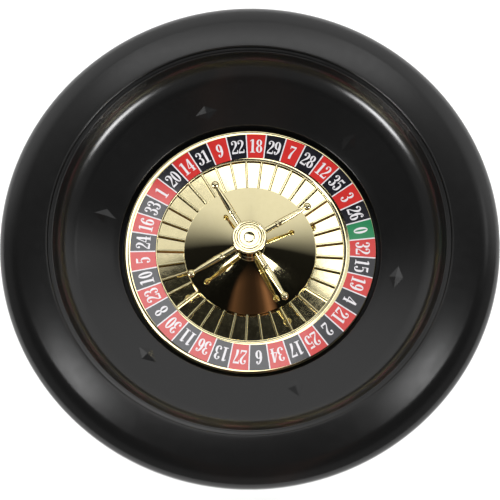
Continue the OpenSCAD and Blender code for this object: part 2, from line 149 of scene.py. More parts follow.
class Piece:
    """Collects shells, each with its own corner normals, and makes one object of them."""

    def __init__(self):
        self.points = []
        self.faces = []
        self.normals = []
        self.slots = []

    def _face(self, corners, normals, slot):
        self.faces.append(corners)
        self.normals.extend(normals)
        self.slots.append(slot)

    def _add(self, points):
        first = len(self.points)
        self.points.extend(points)
        return first

    def lathe(self, outline, segments=ROUND, place=None, slot=0):
        """Turns a closed outline of (radius, height) round Z, then moves it by place."""
        place = place or Matrix()
        turn = place.to_3x3()
        outline = tidied(list(outline))
        pairs = corner_normals(outline)
        n = len(outline)
        angles = [2 * math.pi * i / segments for i in range(segments)]
        index = []
        for r, z in outline:
            if r < 1e-6:
                first = self._add([place @ Vector((0, 0, z))])
                index.append([first] * segments)
            else:
                circle = [Vector((r * math.cos(a), r * math.sin(a), z)) for a in angles]
                first = self._add([place @ point for point in circle])
                index.append(list(range(first, first + segments)))
        for j in range(n):
            k = (j + 1) % n
            if outline[j][0] < 1e-6 and outline[k][0] < 1e-6:
                continue
            start, end = pairs[j]
            for i in range(segments):
                m = (i + 1) % segments
                corners, normals = [], []
                for ring, at, normal in ((j, i, start), (j, m, start), (k, m, end), (k, i, end)):
                    point = index[ring][at]
                    if point in corners:
                        continue
                    corners.append(point)
                    a = angles[at]
                    side = Vector((normal.x * math.cos(a), normal.x * math.sin(a), normal.y))
                    normals.append(turn @ side)
                self._face(corners, normals, slot(i) if callable(slot) else slot)

    def bar(self, near, far, place, slot=0):
        """Joins two outlines of (y, z) that stand at x0 and x1: each is (x, points)."""
        turn = place.to_3x3()
        (x0, a), (x1, b) = near, far
        pairs = corner_normals(a)
        fall = (a[0][1] - b[0][1]) / (x1 - x0)
        n = len(a)
        first = self._add([place @ Vector((x0, y, z)) for y, z in a])
        second = self._add([place @ Vector((x1, y, z)) for y, z in b])
        for j in range(n):
            k = (j + 1) % n
            start, end = (turn @ Vector((v.y * fall, v.x, v.y)) for v in pairs[j])
            corners = [first + j, first + k, second + k, second + j]
            self._face(corners, [start, end, end, start], slot)
        back, front = turn @ Vector((-1, 0, 0)), turn @ Vector((1, 0, 0))
        self._face([first + j for j in reversed(range(n))], [back] * n, slot)
        self._face([second + j for j in range(n)], [front] * n, slot)

    def flat(self, left, right, low, high, place, slot=0, closed=False):
        """A thin plate between two rows of points, with its top at high."""
        turn = place.to_3x3()
        n = len(left)
        rows = [
            self._add([place @ Vector((x, y, z)) for x, y in row]) for row, z in
            ((left, high), (right, high), (left, low), (right, low))
        ]
        lt, rt, lb, rb = rows
        up, down = turn @ Vector((0, 0, 1)), turn @ Vector((0, 0, -1))

        def wall(a, b, c, d):
            p = [self.points[i] for i in (a, b, c, d)]
            normal = (p[2] - p[0]).cross(p[3] - p[1])
            normal = normal.normalized() if normal.length > 1e-12 else up
            self._face([a, b, c, d], [normal] * 4, slot)

        for j in range(n if closed else n - 1):
            k = (j + 1) % n
            self._face([rt + j, rt + k, lt + k, lt + j], [up] * 4, slot)
            self._face([lb + j, lb + k, rb + k, rb + j], [down] * 4, slot)
            wall(lb + k, lb + j, lt + j, lt + k)
            wall(rb + j, rb + k, rt + k, rt + j)
        if not closed:
            wall(lb, rb, rt, lt)
            e = n - 1
            wall(rb + e, lb + e, lt + e, rt + e)

    def facets(self, points, faces, slot=0):
        first = self._add([Vector(p) for p in points])
        for face, normal in faces:
            self._face([first + i for i in face], [normal] * len(face), slot)

    def make(self, name, materials, body, slot, *nodes):
        mesh = bpy.data.meshes.new(name)
        mesh.from_pydata([p * MM for p in self.points], [], self.faces)
        for material in materials:
            mesh.materials.append(material)
        mesh.polygons.foreach_set("material_index", self.slots)
        mesh.polygons.foreach_set("use_smooth", [True] * len(self.faces))
        mesh.update()
        mesh.normals_split_custom_set([tuple(v.normalized()) for v in self.normals])
        obj = bpy.data.objects.new(name, mesh)
        bpy.context.scene.collection.objects.link(obj)
        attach(obj, body)
        if nodes:
            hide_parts(*nodes)
        return obj


def spin(turn, at=0.0, up=0.0):
    """Out along X, then turned about the axis. Radians and millimetres."""
    return Matrix.Rotation(turn, 4, "Z") @ Matrix.Translation((at, 0, up))


# ---------------------------------------------------------------- materials


class Nodes:
    """A short way to write a material's node tree."""

    def __init__(self, name):
        self.material = bpy.data.materials.new(name)
        self.material.use_nodes = True
        self.tree = self.material.node_tree
        self.tree.nodes.clear()
        self.shader = self.add("ShaderNodeBsdfPrincipled")
        out = self.add("ShaderNodeOutputMaterial")
        self.link(self.shader.outputs[0], out.inputs["Surface"])
        self.where = self.add("ShaderNodeTexCoord").outputs["Object"]

    def add(self, kind, **values):
        node = self.tree.nodes.new(kind)
        for key, value in values.items():
            setattr(node, key, value)
        return node

    def link(self, a, b):
        self.tree.links.new(a, b)

    def noise(self, scale, detail=2.0, rough=0.5):
        node = self.add("ShaderNodeTexNoise")
        node.inputs["Scale"].default_value = scale
        node.inputs["Detail"].default_value = detail
        node.inputs["Roughness"].default_value = rough
        self.link(self.where, node.inputs["Vector"])
        return node.outputs["Fac"]

    def ramp(self, value, low, high, at=(0.3, 0.7)):
        node = self.add("ShaderNodeMapRange")
        node.inputs["From Min"].default_value, node.inputs["From Max"].default_value = at
        node.inputs["To Min"].default_value, node.inputs["To Max"].default_value = low, high
        self.link(value, node.inputs["Value"])
        return node.outputs["Result"]

    def blend(self, value, a, b):
        node = self.add("ShaderNodeMix", data_type="RGBA")
        self.link(value, node.inputs["Factor"])
        node.inputs["A"].default_value = (*a, 1)
        node.inputs["B"].default_value = (*b, 1)
        return node.outputs["Result"]

    def bump(self, height, strength, distance):
        node = self.add("ShaderNodeBump")
        node.inputs["Strength"].default_value = strength
        node.inputs["Distance"].default_value = distance
        self.link(height, node.inputs["Height"])
        self.link(node.outputs["Normal"], self.shader.inputs["Normal"])

    def set(self, key, value):
        self.shader.inputs[key].default_value = value

    def drive(self, key, value):
        self.link(value, self.shader.inputs[key])


def moulded(name, dark, pale, rough, grain):
    """Moulded plastic with a fine grain and a little dust."""
    n = Nodes(name)
    n.drive("Base Color", n.blend(n.ramp(n.noise(900, 3), 0, 1, (0.45, 0.75)), dark, pale))
    n.drive("Roughness", n.ramp(n.noise(160, 4), rough[0], rough[1]))
    n.bump(n.noise(2600, 2), grain, 0.00005)
    n.set("IOR", 1.5)
    return n.material


def plated(name, tint, shade, rough, grain):
    """Thin bright plating over plastic."""
    n = Nodes(name)
    n.set("Metallic", 1)
    n.drive("Base Color", n.blend(n.ramp(n.noise(240, 3), 0, 1), tint, shade))
    n.drive("Roughness", n.ramp(n.noise(420, 3), rough[0], rough[1]))
    n.bump(n.noise(1500, 3), grain, 0.00004)
    return n.material


def printed(name, ink, worn):
    """Ink on satin vinyl."""
    n = Nodes(name)
    n.drive("Base Color", n.blend(n.ramp(n.noise(300, 4), 0, 1), ink, worn))
    n.drive("Roughness", n.ramp(n.noise(500, 3), 0.06, 0.09))
    n.bump(n.noise(1800, 2), 0.02, 0.00002)
    n.set("IOR", 1.75)
    return n.material


def metal(name, tint, shade, rough):
    n = Nodes(name)
    n.set("Metallic", 1)
    n.drive("Base Color", n.blend(n.ramp(n.noise(500, 3), 0, 1), tint, shade))
    n.drive("Roughness", n.ramp(n.noise(900, 3), rough[0], rough[1]))
    return n.material


BLACK = moulded(
    "black_moulded", (0.0055, 0.0055, 0.0055), (0.007, 0.007, 0.007), (0.17, 0.20), 0.06
)
MATT = moulded("matt_black_moulded", (0.012, 0.012, 0.013), (0.02, 0.02, 0.021), (0.5, 0.62), 0.25)
GOLD = plated("pale_gold_plating", (0.93, 0.83, 0.50), (0.91, 0.81, 0.48), (0.03, 0.06), 0.012)
GRAINED = plated("grained_gold_plating", (0.93, 0.83, 0.50), (0.88, 0.78, 0.46), (0.05, 0.09), 0.05)
STEEL = metal("bright_steel", (0.62, 0.63, 0.65), (0.52, 0.53, 0.55), (0.22, 0.34))
NYLON = moulded("natural_nylon", (0.80, 0.77, 0.68), (0.74, 0.71, 0.62), (0.42, 0.5), 0.1)
RUBBER = moulded("black_rubber", (0.014, 0.014, 0.014), (0.022, 0.022, 0.022), (0.68, 0.8), 0.4)
INK_RED = printed("red_ink", (0.46, 0.026, 0.022), (0.42, 0.022, 0.020))
INK_BLACK = printed("black_ink", (0.007, 0.007, 0.010), (0.012, 0.012, 0.016))
INK_GREEN = printed("green_ink", (0.010, 0.17, 0.062), (0.008, 0.15, 0.055))
INK_PALE = printed("pale_ink", (0.62, 0.60, 0.62), (0.56, 0.54, 0.56))

CARRIED = {
    STEEL: (
        "base_screws", "rim_screws", "spindle", "spindle_nut", "spindle_washer", "retaining_ring",
        "bearing_inner_race", "bearing_outer_race", "bearing_balls", "bearing_shields",
        "rotor_screws", "turret_screw",
    ),
    NYLON: ("bearing_cage",),
    RUBBER: ("rubber_feet",),
    MATT: ("base_plate",),
}
for material, nodes in CARRIED.items():
    for node in nodes:
        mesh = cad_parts[node].data
        mesh.materials.clear()
        mesh.materials.append(material)

# ---------------------------------------------------------------- bowl

SCREW_BORE_R = 1.55
RIM_SCREWS_AT = 128.6
RIM_BOSS_R = 3.4
BASE_SCREWS_AT = 96
BASE_BOSS_R = 4.2
FLANGE_LOW = LIP_Z + 0.6
FLANGE_TOP = LIP_Z + 2.8
FLANGE_IN = 120
FLANGE_OUT = 132.6
GAP = 0.05

ROUND_W = 16.0
ROUND_DROP = 1.3
ROUND_DEG = 81
ROUND_H = BRIM_TOP - ROUND_DROP - LIP_Z
ROUND_C = BOWL_R - ROUND_W
BRIM_EDGE = 0.9
BRIM_CROWN = 0.10


def brim_under(r):
    """The height of the brim's rounded underside."""
    return LIP_Z + (ROUND_H - WALL) * math.sqrt(1 - ((r - ROUND_C) / (ROUND_W - WALL)) ** 2)


def screw_bosses(piece, at, turn, low, high, outer):
    """Six bored posts in a circle."""
    inner = SCREW_BORE_R
    for i in range(6):
        place = spin(math.radians(turn + 60 * i), at)
        piece.lathe([(inner, low), (outer, low), (outer, high), (inner, high)], 32, place)


FACE_OUT = ROUND_C + ROUND_W * math.cos(math.radians(ROUND_DEG))
FACE_IN = BRIM_R + BRIM_EDGE
FACE_Z = LIP_Z + ROUND_H * math.sin(math.radians(ROUND_DEG))


def brim_face(r):
    """The broad upper face of the brim, with a slight crown."""
    t = (FACE_OUT - r) / (FACE_OUT - FACE_IN)
    return FACE_Z + (BRIM_TOP - FACE_Z) * t + BRIM_CROWN * 4 * t * (1 - t)


brim_steps = [FACE_OUT + (FACE_IN - FACE_OUT) * i / 10 for i in range(1, 10)]
brim = Piece()
brim.lathe(
    [(BOWL_R - 0.3, LIP_Z - LIP_H), (BOWL_R, LIP_Z - 1.7)]
    + arc(ROUND_C, LIP_Z, ROUND_W, ROUND_H, 0, ROUND_DEG, 36)
    + [(r, brim_face(r)) for r in brim_steps]
    + arc(BRIM_R + BRIM_EDGE, BRIM_TOP - BRIM_EDGE, BRIM_EDGE, BRIM_EDGE, 90, 180, 8)
    + [(BRIM_R, LEDGE_Z - WALL), (BRIM_R + WALL, BRIM_TOP - WALL - 0.4)]
    + arc(ROUND_C, LIP_Z, ROUND_W - WALL, ROUND_H - WALL, ROUND_DEG, 0, 24)
    + [(BOWL_R - WALL, LIP_Z - LIP_H)]
)
screw_bosses(brim, RIM_SCREWS_AT, 0, FLANGE_TOP, BRIM_TOP - WALL, RIM_BOSS_R)
brim.make("brim_ring_skin", [BLACK], "bowl", "black_plastic", "brim_ring")

SHELL_OUT = 142
SHELL_IN = 139
SHELL_FOOT_R = 114
STEP_W = 4
shell = Piece()
foot = bottom("body_shell")
shell.lathe(
    [(SHELL_OUT, brim_under(SHELL_OUT) - GAP), (SHELL_FOOT_R + 1, foot + 4.6)]
    + [(SHELL_FOOT_R + 0.3, foot + 2.8), (SHELL_FOOT_R, foot + 1.6), (SHELL_FOOT_R, foot)]
    + [(PLATE_R + 0.2, foot), (PLATE_R + 0.2, foot + 2), (PLATE_R - STEP_W, foot + 2)]
    + [(PLATE_R - STEP_W, foot + 4.4), (SHELL_FOOT_R - WALL, foot + 4.4)]
    + [(SHELL_IN, brim_under(SHELL_IN) - GAP)]
)
shell.make("body_shell_skin", [BLACK], "bowl", "black_plastic", "body_shell")

SLOPE_DEG = 21.5
SLOPE = math.radians(SLOPE_DEG)
TRACK_R = BRIM_R - 3.1
CURVE = 20.5
CURVE_X = TRACK_R - CURVE
CURVE_Z = LEDGE_Z - 1.0
HOLE_R = 81.5
HOLE_EDGE = 0.9
SLOPE_R = CURVE_X + CURVE * math.sin(SLOPE)
HOLE_Z = CURVE_Z - CURVE * math.cos(SLOPE) - (SLOPE_R - HOLE_R) * math.tan(SLOPE)
SLOPE_SAG = 0.13
GROOVE_OUT = BRIM_R - 1.7
GROOVE_IN = BRIM_R - 2.4
GROOVE_H = 0.9


def slope_at(r):
    return HOLE_Z + (r - HOLE_R) * math.tan(SLOPE)


def dished(r):
    """The slope's upper face sags very slightly between its ends."""
    t = (r - HOLE_R) / (SLOPE_R - HOLE_R)
    return slope_at(r) - SLOPE_SAG * 4 * t * (1 - t)


track = Piece()
base = bottom("track_bowl")
track.lathe(
    [(BRIM_R - 0.3, LEDGE_Z), (GROOVE_OUT + 0.1, LEDGE_Z), (GROOVE_OUT, LEDGE_Z - 0.1)]
    + [(GROOVE_OUT, LEDGE_Z - GROOVE_H), (GROOVE_IN, LEDGE_Z - GROOVE_H)]
    + [(GROOVE_IN, LEDGE_Z - 0.3), (GROOVE_IN - 0.1, LEDGE_Z - 0.2)]
    + arc(TRACK_R + 0.3, LEDGE_Z - 0.5, 0.3, 0.3, 90, 180, 4)
    + arc(CURVE_X, CURVE_Z, CURVE, CURVE, 0, SLOPE_DEG - 90, 48)
    + [(r, dished(r)) for r in (104, 101, 98, 95, 92, 89, 86, 84)]
    + arc(
        HOLE_R + HOLE_EDGE, HOLE_Z - HOLE_EDGE * 0.6, HOLE_EDGE, HOLE_EDGE,
        90 + SLOPE_DEG, 180, 8,
    )
    + [(HOLE_R, base), (HOLE_R + WALL, base), (HOLE_R + WALL, HOLE_Z - 1.6)]
    + arc(CURVE_X, CURVE_Z, CURVE + WALL, CURVE + WALL, SLOPE_DEG - 90, -4, 32)
)
track.lathe(
    [(FLANGE_IN, FLANGE_LOW), (FLANGE_OUT, FLANGE_LOW)]
    + [(FLANGE_OUT, FLANGE_TOP), (FLANGE_IN, FLANGE_TOP)]
)
boss_top = slope_at(BASE_SCREWS_AT - BASE_BOSS_R) - 1.2
screw_bosses(track, BASE_SCREWS_AT, 30, base, boss_top, BASE_BOSS_R)
track.make("track_bowl_skin", [BLACK], "bowl", "black_plastic", "track_bowl")

# Diamond deflectors: four flat faces each, with the foot following the slope
diamonds = Piece()
DIAMOND_AT = (SLOPE_R + HOLE_R) / 2 - 1.5
DIAMOND_LONG = 7.2
DIAMOND_WIDE = 4.6
DIAMOND_H = 1.1
DIAMOND_TURN = 47.4
SIDE_STEPS = 8
RIM_POINTS = 4 * SIDE_STEPS
for i in range(6):
    along, across = DIAMOND_LONG, DIAMOND_WIDE
    if i % 2:
        along, across = across, along
    tips = [(along, 0), (0, across), (-along, 0), (0, -across)]
    place = spin(math.radians(DIAMOND_TURN + 60 * i), DIAMOND_AT, slope_at(DIAMOND_AT))
    place = place @ Matrix.Rotation(-SLOPE, 4, "Y")

    def on_slope(x, y):
        point = place @ Vector((x, y, 0))
        point.z = slope_at(math.hypot(point.x, point.y)) + 0.03
        return point

    peak = place @ Vector((0, 0, DIAMOND_H))
    foot_points = []
    for a, b in zip(tips, tips[1:] + tips[:1]):
        foot_points += [
            on_slope(a[0] + (b[0] - a[0]) * t / SIDE_STEPS, a[1] + (b[1] - a[1]) * t / SIDE_STEPS)
            for t in range(SIDE_STEPS)
        ]
    faces = []
    for side in range(4):
        start = side * SIDE_STEPS
        a, b = foot_points[start], foot_points[(start + SIDE_STEPS) % RIM_POINTS]
        normal = (a - peak).cross(b - peak).normalized()
        faces += [
            ([RIM_POINTS, start + t, (start + t + 1) % RIM_POINTS], normal)
            for t in range(SIDE_STEPS)
        ]
    down = place.to_3x3() @ Vector((0, 0, -1))
    faces += [([RIM_POINTS + 1, (t + 1) % RIM_POINTS, t], down) for t in range(RIM_POINTS)]
    diamonds.facets(foot_points + [peak, on_slope(0, 0)], faces)
diamonds.make("ball_deflectors_skin", [BLACK], "bowl", "black_plastic", "ball_deflectors")

# ---------------------------------------------------------------- rotor

HUB_LOW = bottom("rotor_plate")
SEAT_TOP = top("bearing_outer_race") + 1
BEARING_LIP_R = 9.6
SEAT_R = 11
SEAT_OUT = 13.6
OUTER_BEAD_R = 12
INNER_BEAD_R = 4.2
SEAM_R = POCKET_OUT + 0.6
SEAM_HALF = 0.2
SEAM_MOUTH = 0.26
SEAM_DEPTH = 0.6
# Sizes of the matt black ring in the seam, which is painted shade in the groove
SHADE_RING_HALF = 0.22
SHADE_RING_LOW = DECK_Z - 0.62
SHADE_RING_TOP = DECK_Z - 0.3
BORE_R = 2.1


def groove(r):
    """A fine groove turned into the deck, wider at its mouth."""
    return [
        (r + SEAM_MOUTH, DECK_Z - 0.2), (r + SEAM_HALF, DECK_Z - SEAM_DEPTH),
        (r - SEAM_HALF, DECK_Z - SEAM_DEPTH), (r - SEAM_MOUTH, DECK_Z - 0.2),
    ]


rotor = Piece()
rotor.lathe(
    [(SEAT_R, HUB_LOW + 0.8), (BEARING_LIP_R, HUB_LOW + 0.8), (BEARING_LIP_R, HUB_LOW)]
    + [(SEAT_OUT, HUB_LOW), (SEAT_OUT, WEB_TOP - 2)]
    + [(POCKET_OUT + 2, WEB_TOP - 2), (POCKET_OUT + 2, DECK_Z - 2), (ROTOR_R - 2, DECK_Z - 2)]
    + [(ROTOR_R - 2, WEB_TOP - 2.7), (ROTOR_R - 0.4, WEB_TOP - 2.7), (ROTOR_R, WEB_TOP - 2.3)]
    + arc(ROTOR_R - 1.6, DECK_Z - 1.3, 1.6, 1.3, 0, 90, 12)
    + arc(ROTOR_R - 1.6, DECK_Z - OUTER_BEAD_R, OUTER_BEAD_R, OUTER_BEAD_R, 91, 99, 8)
    + [(ROTOR_R - 3.6, DECK_Z)]
    + arc(POCKET_OUT + 2.2, DECK_Z - INNER_BEAD_R, INNER_BEAD_R, INNER_BEAD_R, 90, 108, 8)
    + groove(SEAM_R)
    + arc(POCKET_OUT + 0.18, DECK_Z - 0.38, 0.18, 0.18, 90, 180, 4)
    + [(POCKET_OUT, WEB_TOP), (SEAT_OUT, WEB_TOP), (SEAT_OUT, SEAT_TOP), (SEAT_R, SEAT_TOP)]
)
# A matt black ring laid in the seam beside the pockets: painted shade, standing in for the shadow
# in the groove
rotor.lathe(
    [(SEAM_R - SHADE_RING_HALF, SHADE_RING_LOW), (SEAM_R + SHADE_RING_HALF, SHADE_RING_LOW)]
    + [(SEAM_R + SHADE_RING_HALF, SHADE_RING_TOP), (SEAM_R - SHADE_RING_HALF, SHADE_RING_TOP)],
    slot=1,
)
rotor.make("rotor_plate_skin", [GOLD, MATT], "rotor", "gold", "rotor_plate")

floor_ring = Piece()
floor_ring.lathe(
    [(POCKET_IN + GAP, WEB_TOP), (POCKET_OUT - GAP, WEB_TOP), (POCKET_OUT - GAP, FLOOR_OUT)]
    + [(POCKET_IN + GAP, FLOOR_IN)]
)
floor_ring.make("pocket_ring_skin", [GRAINED], "rotor", "gold", "pocket_ring")


def floor_at(r):
    """The height of the sloping pocket floor."""
    return FLOOR_OUT - (POCKET_OUT - r) / (POCKET_OUT - POCKET_IN) * (FLOOR_OUT - FLOOR_IN)


FRET_FOOT = 0.75
FRET_HALF = 0.72
FRET_SHOULDER = 0.6


def fret_outline(r):
    """A bar's end: leaning sides and rounded shoulders, always as high above the floor."""
    low = floor_at(r) + 0.01
    high = low + FRET_H
    right = [(FRET_FOOT, low)] + arc(
        FRET_HALF - FRET_SHOULDER, high - FRET_SHOULDER, FRET_SHOULDER, FRET_SHOULDER, 4, 90, 12
    )
    return right + [(-y, z) for y, z in reversed(right)]


frets = Piece()
for i in range(POCKETS):
    near, far = POCKET_IN + 0.1, POCKET_OUT - 0.15
    frets.bar((near, fret_outline(near)), (far, fret_outline(far)), spin((i + 0.5) * STEP))
frets.make("pocket_frets_skin", [GOLD], "rotor", "gold", "pocket_frets")

CONE_SLOPE = math.tan(math.radians(14))
CONE_EDGE = CONE_TOP - (POCKET_IN - FOOT_R) * CONE_SLOPE
CONE_WALL = 1.8
CONE_BOSS_R = 6
CONE_BOSS_H = 3.2
ROTOR_SCREWS_AT = 30
ROTOR_BOSS_R = 3
cone = Piece()
cone.lathe(
    [(BORE_R, CONE_TOP), (FOOT_R, CONE_TOP), (POCKET_IN - 0.5, CONE_EDGE + 0.125)]
    + [(POCKET_IN - 0.12, CONE_EDGE - 0.06), (POCKET_IN, CONE_EDGE - 0.4), (POCKET_IN, WEB_TOP)]
    + [(POCKET_IN - CONE_WALL, WEB_TOP), (POCKET_IN - CONE_WALL, CONE_EDGE - 1.1)]
    + [(FOOT_R, CONE_TOP - CONE_WALL), (CONE_BOSS_R, CONE_TOP - CONE_WALL)]
    + [(CONE_BOSS_R, CONE_TOP - CONE_BOSS_H), (BORE_R, CONE_TOP - CONE_BOSS_H)]
)
under = CONE_EDGE + (POCKET_IN - ROTOR_SCREWS_AT) * CONE_SLOPE - 0.9
for i in range(4):
    cone.lathe(
        [(SCREW_BORE_R, WEB_TOP), (ROTOR_BOSS_R, WEB_TOP)]
        + [(ROTOR_BOSS_R, under), (SCREW_BORE_R, under)],
        32,
        spin(math.radians(45 + 90 * i), ROTOR_SCREWS_AT),
    )
cone.make("cone_cover_skin", [GOLD], "rotor", "gold", "cone_cover")

# ---------------------------------------------------------------- turret

STEM_R = 6.2

foot_piece = Piece()
foot_piece.lathe(
    [(BORE_R, CONE_TOP), (FOOT_R, CONE_TOP), (FOOT_R, CONE_TOP + 0.5)]
    + arc(FOOT_R - 0.45, CONE_TOP + 0.55, 0.45, 0.45, 0, 90, 6)
    + arc(STEM_R + 2.7, CONE_TOP + 4.1, 2.7, 2.9, 266, 180, 14)
    + [(STEM_R, FOOT_TOP - 1.7)]
    + arc(STEM_R + 0.35, FOOT_TOP - 0.55, 0.55, 0.55, -70, 70, 8)
    + [(STEM_R + 0.4, FOOT_TOP), (BORE_R, FOOT_TOP)],
    SMALL,
)
foot_piece.make("turret_foot_skin", [GOLD], "rotor", "gold", "turret_foot")

hub = Piece()
hub.lathe(
    [(0, FOOT_TOP), (STEM_R + 1.2, FOOT_TOP)]
    + arc(HUB_R - 2.2, FOOT_TOP + 2.4, 2.2, 2.4, -78, 0, 12)
    + arc(HUB_R - 0.9, HUB_TOP - 1.7, 0.9, 0.9, 0, 80, 8)
    + [(HUB_R - 1.2, HUB_TOP - 0.7), (HUB_R - 1.2, HUB_TOP), (0, HUB_TOP)],
    SMALL,
)
hub.make("turret_hub_skin", [GOLD], "rotor", "gold", "turret_hub")

cap = Piece()
cap.lathe(
    [(0, HUB_TOP), (HUB_R - 1.2, HUB_TOP), (CAP_R - 0.5, HUB_TOP + 0.6)]
    + arc(CAP_R - 0.5, HUB_TOP + 1.1, 0.5, 0.5, -50, 0, 5)
    + arc(CAP_R - 0.9, CAP_TOP - 0.9, 0.9, 0.9, 0, 90, 10)
    + [(CAP_R - 1.5, CAP_TOP)]
    + arc(CAP_R - 2.35, CAP_TOP - 0.05, 0.85, 0.4, 0, -90, 8)
    + [(CAP_R - 2.9, CAP_TOP - 0.45)]
    + arc(CAP_R - 3.75, CAP_TOP - 0.45, 0.55, 0.3, 10, 90, 6)
    + [(CAP_R - 4.5, CAP_TOP - 0.15)]
    + arc(CAP_R - 5.1, CAP_TOP - 0.2, 0.8, 0.35, 0, -90, 8)
    + [(BUTTON_R + 0.1, CAP_TOP - 0.58), (BUTTON_R + 0.1, CAP_TOP - 2), (0, CAP_TOP - 2)],
    SMALL,
)
cap.make("turret_cap_skin", [GOLD], "rotor", "gold", "turret_cap")

button = Piece()
rim = BUTTON_TOP - 0.28
button.lathe(
    [(0, CAP_TOP - 2), (BUTTON_R, CAP_TOP - 2), (BUTTON_R, rim)]
    + arc(BUTTON_R - 0.25, rim, 0.25, 0.2, 0, 80, 5)
    + [(BUTTON_R - 0.8, BUTTON_TOP), (0, BUTTON_TOP)],
    SMALL,
)
button.make("turret_button_skin", [GOLD], "rotor", "gold", "turret_button")

ARM_Z = 42.5
ARM_TURN = math.radians(30.9)
ARM_ROOT = 7.2
ARM_STUB_R = 1.2
REACH = 41.3
BALL_R = 2.4
for i in range(4):
    place = spin(ARM_TURN + math.pi / 2 * i, 0, ARM_Z) @ Matrix.Rotation(math.pi / 2, 4, "Y")
    arm = Piece()
    arm.lathe(
        [(0, ARM_ROOT), (ARM_STUB_R, ARM_ROOT), (ARM_STUB_R, HUB_R)]
        + arc(1.5, HUB_R + 0.3, 0.3, 0.3, -90, 0, 4)
        + [(1.75, 18.2)]
        + arc(1.75, 19.4, 0.35, 0.55, -60, 60, 8)
        + [(1.72, 20.3), (1.98, 21.2), (1.98, 22.2)]
        + [(1.9, 26), (1.72, 30), (1.5, 34), (1.3, 37), (1.22, 38.4)]
        + arc(0, REACH, BALL_R, BALL_R, -59, 90, 24),
        64,
        place,
    )
    arm.make("arm_%d_skin" % (i + 1), [GOLD], "rotor", "gold", "arm_%d" % (i + 1))

# ---------------------------------------------------------------- number ring

ORDER = (
    0, 32, 15, 19, 4, 21, 2, 25, 17, 34, 6, 27, 13, 36, 11, 30, 8, 23, 10,
    5, 24, 16, 33, 1, 20, 14, 31, 9, 22, 18, 29, 7, 28, 12, 35, 3, 26,
)
LABEL_X = (LABEL_LO.x + LABEL_HI.x) / 2
LABEL_Y = (LABEL_LO.y + LABEL_HI.y) / 2
LABEL_R = (LABEL_HI.x - LABEL_LO.x) / 2
LABEL_W = 16.0
LABEL_Z = LABEL_HI.z
PRINT_LOW = LABEL_Z - 0.02
PRINT_TOP = LABEL_Z + 0.02
LABEL_TURN = math.radians(10.4)
LABEL_AT = Matrix.Translation((LABEL_X, LABEL_Y, 0))
PER_NUMBER = ROUND // POCKETS
ZERO_START = LABEL_TURN - STEP / 2


def number_ink(place):
    """Green for nought, then red and black by turns, clockwise from nought."""
    return 2 if place == 0 else 0 if place % 2 else 1


label = Piece()
inner = LABEL_R - LABEL_W
label.lathe(
    [(inner, DECK_Z), (LABEL_R, DECK_Z), (LABEL_R, LABEL_Z), (inner, LABEL_Z)],
    ROUND,
    LABEL_AT @ Matrix.Rotation(ZERO_START, 4, "Z"),
    lambda i: number_ink(-(i // PER_NUMBER) % POCKETS),
)
label.make("number_ring_skin", [INK_RED, INK_BLACK, INK_GREEN], "rotor", "print", "number_ring")

LINE_W = 0.75
half = LINE_W / 2
line_in, line_out = inner + 0.1, LABEL_R - 0.1
lines = Piece()
for i in range(POCKETS):
    place = LABEL_AT @ Matrix.Rotation(ZERO_START + i * STEP, 4, "Z")
    lines.flat(
        [(line_in, half), (line_out, half)], [(line_in, -half), (line_out, -half)],
        PRINT_LOW, PRINT_TOP, place,
    )
lines.make("number_ring_lines", [INK_PALE], "rotor", "print")

